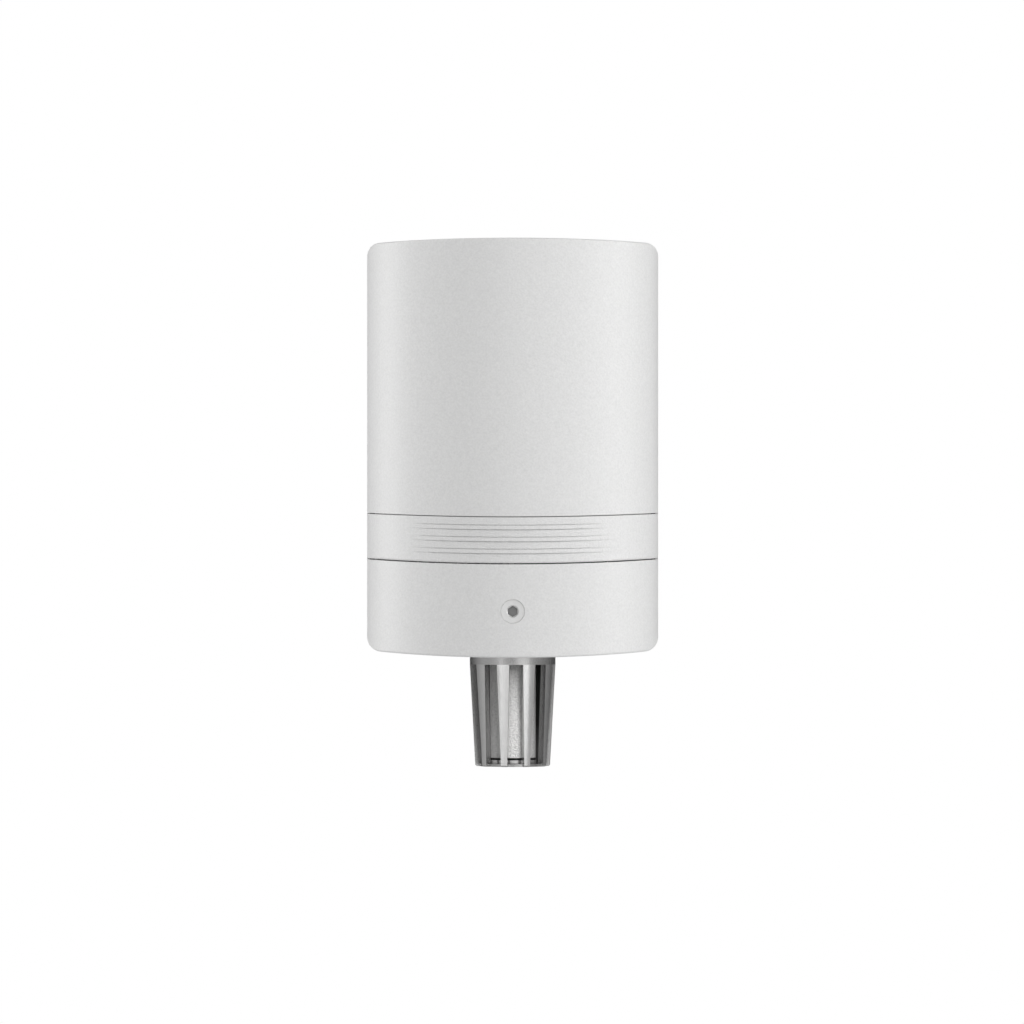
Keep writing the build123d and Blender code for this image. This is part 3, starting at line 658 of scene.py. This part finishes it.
piece("chip_legs", chip_legs, "tin", "base")
piece("regulator_legs", regulator_legs, "tin", "base")
piece("passive_bodies", lambda bm: add_passives(bm, [0.2], [0.8], 0.55), "chip_black", "base", 0.05)
piece("passive_ends", lambda bm: add_passives(bm, [0.0, 0.79], [0.21, 1.0], 0.6), "tin", "base", 0.06)
piece("capacitor_bases", capacitor_bases, "chip_black", "base", 0.4)
piece("capacitor_marks", capacitor_stripes, "chip_black", "base")
piece("inductor_ring", inductor_winding, "chip_black", "base", 0.05)
piece("inductor_pads", inductor_pads, "tin", "base", 0.08)
piece("screw_lands", screw_lands, "tin", "base")
piece("terminal_clamps", terminal_clamps, "tin", "base", 0.08)
piece("crystal_can", crystal_can, "can_metal", "base", 0.6)
piece("socket_pins", socket_pins, "tin", "base")
piece("dip_pads", dip_pads, "tin", "base", 0.06)
piece("button_pads", button_pads, "tin", "base", 0.06)
sleeve = piece("porous_sleeve", grainy_sleeve, "sintered", "sleeve")
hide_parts("filter_sleeve")


# ---- floor, light and camera ----
def make_floor():
    """Large pale disc under the object, which glows a little."""
    bpy.ops.mesh.primitive_circle_add(
        vertices=96, radius=FLOOR_RADIUS, fill_type="NGON", location=(0, 0, FLOOR_Z))
    floor = bpy.context.object
    floor.name = "studio_floor"
    made, t = material("floor_paper")
    cloud = t.noise(40.0, 3.0, 0.5)
    tint = t.mix(cloud, rgb(0.80, 0.80, 0.80), rgb(0.84, 0.84, 0.84))
    t.surface(Base_Color=tint, Roughness=0.9, Emission_Color=rgb(1, 1, 1), Emission_Strength=FLOOR_GLOW)
    floor.data.materials.append(made)


# brightness of the surroundings by bearing: 0 is the camera's side, positive to the right
SURROUND = [
    (-180, 0.16), (-145, 0.12), (-112, 0.5), (-88, 0.9), (-62, 0.72), (-33, 1.25), (-9, 0.32),
    (10, 0.8), (30, 1.6), (52, 0.7), (85, 0.5), (112, 0.35), (145, 0.12), (180, 0.16),
]
SURROUND_PEAK = 1.6
SURROUND_STRENGTH = 0.84
# share of that brightness by height: the sine of the elevation, from straight down to straight up
HEIGHTS = [(-1.0, 1.0), (-0.14, 1.0), (-0.02, 0.62), (0.25, 0.6), (0.6, 0.5), (1.0, 0.6)]


def make_world():
    """Soft surroundings that light the object, and plain white where the camera sees past it."""
    world = bpy.data.worlds.new("studio")
    bpy.context.scene.world = world
    world.use_nodes = True
    t = Tree(world.node_tree)
    ray = t.add("ShaderNodeTexCoord").outputs["Generated"]
    parts = t.add("ShaderNodeSeparateXYZ", {"Vector": ray})
    back = t.math("MULTIPLY", parts.outputs["Y"], -1.0)
    bearing = t.math("ARCTAN2", parts.outputs["X"], back)
    turn = t.math("MULTIPLY_ADD", bearing, 0.5 / math.pi, 0.5)
    stops = [(0.5 + angle / 360, level / SURROUND_PEAK) for angle, level in SURROUND]
    level = t.ramp(turn, stops, "B_SPLINE")
    rise = t.math("MULTIPLY_ADD", parts.outputs["Z"], 0.5, 0.5)
    share = t.ramp(rise, [(0.5 + 0.5 * sine, level_here) for sine, level_here in HEIGHTS])
    both_ways = t.math("MULTIPLY", level, share)
    strength = t.math("MULTIPLY", both_ways, SURROUND_PEAK * SURROUND_STRENGTH)
    soft = t.add("ShaderNodeBackground", {"Color": rgb(1, 1, 1), "Strength": strength})
    white = t.add("ShaderNodeBackground", {"Color": rgb(1, 1, 1), "Strength": 1.0})
    seen = t.add("ShaderNodeLightPath").outputs["Is Camera Ray"]
    both = t.add("ShaderNodeMixShader")
    t.feed(both.inputs[0], seen)
    t.feed(both.inputs[1], soft.outputs[0])
    t.feed(both.inputs[2], white.outputs[0])
    out = t.add("ShaderNodeOutputWorld")
    t.feed(out.inputs["Surface"], both.outputs[0])


def make_softbox(name, bearing, distance, width, height, brightness, lights_up=(), elevation=0):
    """Softbox at a bearing round the object, lighting all of it or only the pieces named."""
    data = bpy.data.lights.new(name, "AREA")
    data.shape = "RECTANGLE"
    data.size = width
    data.size_y = height
    data.energy = brightness * math.pi * width * height
    box = bpy.data.objects.new(name, data)
    bpy.context.scene.collection.objects.link(box)
    turn, climb = math.radians(bearing), math.radians(elevation)
    towards = Vector((math.sin(turn) * math.cos(climb), -math.cos(turn) * math.cos(climb), math.sin(climb)))
    box.location = Vector((0, -0.02, -0.01)) + towards * distance
    box.rotation_euler = towards.to_track_quat("Z", "Y").to_euler()
    box.visible_camera = False
    if lights_up:
        receivers = bpy.data.collections.new(name + "_receivers")
        for lit in lights_up:
            receivers.objects.link(bpy.data.objects[lit])
        box.light_linking.receiver_collection = receivers


HOUSING = ["upper_cover", "grip_band", "lower_cover", "rear_case", "cover_screw"]
PROBE = ["sensor_cage", "cage_cap", "porous_sleeve"]
make_softbox("left_strip", -100, BOX_DISTANCE, 0.8, 3.0, LEFT_STRIP, HOUSING)
make_softbox("right_strip", 66, BOX_DISTANCE, 0.9, 3.0, RIGHT_STRIP, HOUSING)
make_softbox("side_strip", 80, BOX_DISTANCE, 0.5, 3.0, SIDE_STRIP, HOUSING)
make_softbox("front_strip", 0, FRONT_STRIP_DISTANCE, 0.7, 2.6, FRONT_STRIP, HOUSING)
make_softbox("low_card", 4, BOX_DISTANCE, 2.6, 0.24, LOW_CARD, PROBE, -11)
make_softbox("sleeve_card", 14, BOX_DISTANCE, 0.4, 1.2, SLEEVE_CARD, ["porous_sleeve"], 34)
make_softbox("back_fill", 180, BOX_DISTANCE, 0.7, 0.9, BACK_FILL)


def make_camera():
    """Long level lens, straight in front."""
    data = bpy.data.cameras.new("main")
    data.lens = CAMERA_LENS
    data.sensor_width = 36.0
    data.clip_start = 0.05
    data.clip_end = 20.0
    camera = bpy.data.objects.new("main", data)
    camera.location = CAMERA_POS
    camera.rotation_euler = (math.radians(90), 0, 0)
    bpy.context.scene.collection.objects.link(camera)
    bpy.context.scene.camera = camera


make_floor()
make_world()
make_camera()
bpy.context.scene.view_settings.view_transform = "Standard"
